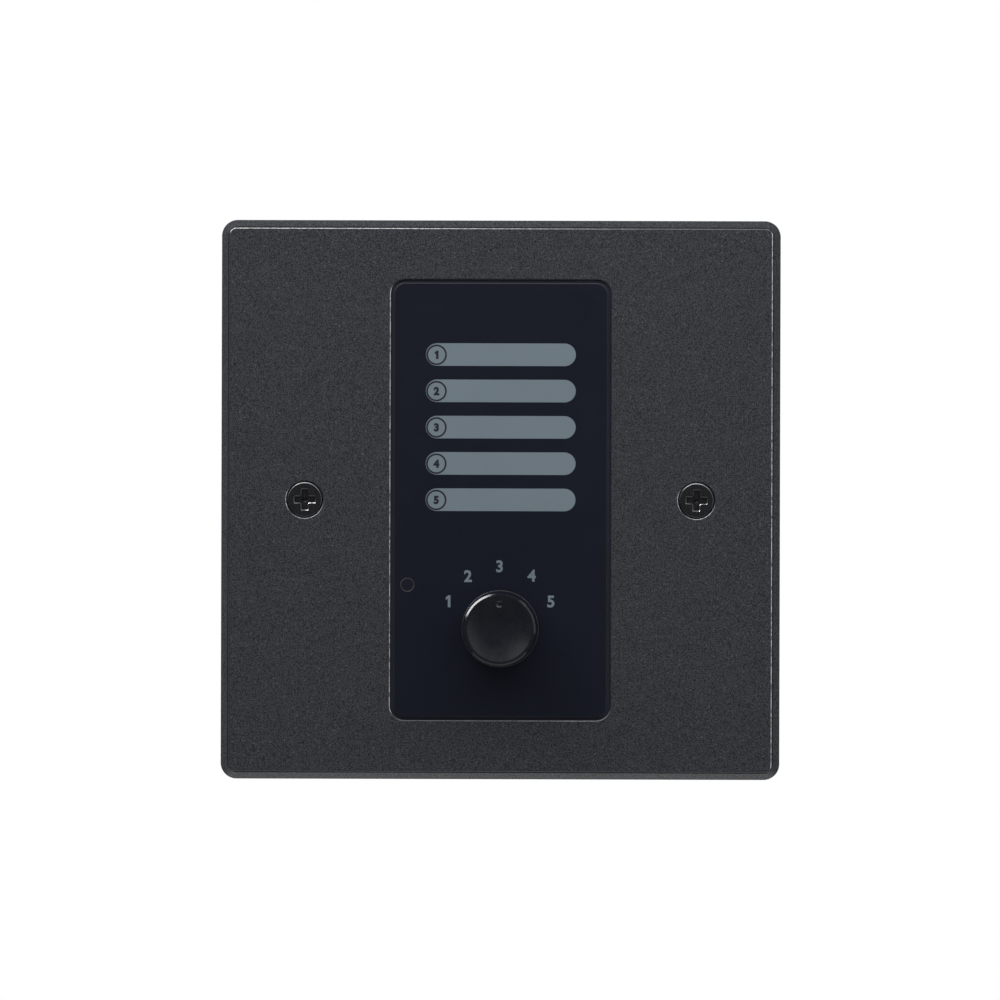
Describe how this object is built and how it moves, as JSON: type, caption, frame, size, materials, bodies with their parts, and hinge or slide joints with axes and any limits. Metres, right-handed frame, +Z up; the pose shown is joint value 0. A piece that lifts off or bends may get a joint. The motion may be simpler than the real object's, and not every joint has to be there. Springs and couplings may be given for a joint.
{
  "type": "audio wall controller",
  "caption": "Square wall plate with a tall dark control panel, blank label strips and a round selector knob that turns a rotary switch on a board with data sockets behind it.",
  "frame": {"origin": "middle of the wall plane, on the line between the two fixing screws", "axes": "+Z up, +X to the right seen from the room, +Y into the wall; the front faces -Y"},
  "size_m": [0.086, 0.0446, 0.086],
  "materials": {
    "plate_plastic": "charcoal moulding with a fine speckled texture",
    "black_screw": "black finish on steel",
    "panel_plastic": "charcoal moulding",
    "overlay_film": "satin printed film",
    "label_film": "flat grey printed film",
    "zinc_plated_steel": "zinc plated",
    "board_laminate": "green solder mask on glass laminate",
    "die_cast_zinc": "plain die casting",
    "switch_plastic": "black moulding",
    "spring_steel": "bright spring steel",
    "wafer_phenolic": "brown phenolic board",
    "contact_brass": "gold flashed",
    "socket_plastic": "black moulding",
    "resistor_lacquer": "tan lacquer",
    "knob_plastic": "glossy black moulding",
    "rotor_plastic": "natural acetal"
  },
  "bodies": {
    "controller": {"wall_plate": "plate_plastic", "plate_screws": "black_screw", "control_panel": "panel_plastic", "graphic_overlay": "overlay_film", "label_strip_1": "label_film", "label_strip_2": "label_film", "label_strip_3": "label_film", "label_strip_4": "label_film", "label_strip_5": "label_film", "mounting_bracket": "zinc_plated_steel", "bracket_screws": "zinc_plated_steel", "circuit_board": "board_laminate", "board_screws": "zinc_plated_steel", "switch_bushing": "die_cast_zinc", "switch_housing": "switch_plastic", "detent_spring": "spring_steel", "contact_wafer": "wafer_phenolic", "switch_terminals": "contact_brass", "upper_socket_shell": "socket_plastic", "upper_socket_contacts": "contact_brass", "lower_socket_shell": "socket_plastic", "lower_socket_contacts": "contact_brass", "ladder_resistors": "resistor_lacquer"},
    "selector": {"knob": "knob_plastic", "knob_spring": "spring_steel", "switch_shaft": "die_cast_zinc", "switch_rotor": "rotor_plastic", "rotor_contact": "contact_brass", "shaft_clip": "spring_steel"}
  },
  "joints": [
    {"name": "knob_turn", "type": "hinge", "parent": "controller", "child": "selector", "pos_m": [0, 0, -0.0198], "axis": [0, 1, 0], "range_deg": [-60, 60], "deforming": ["detent_spring"]}
  ]
}
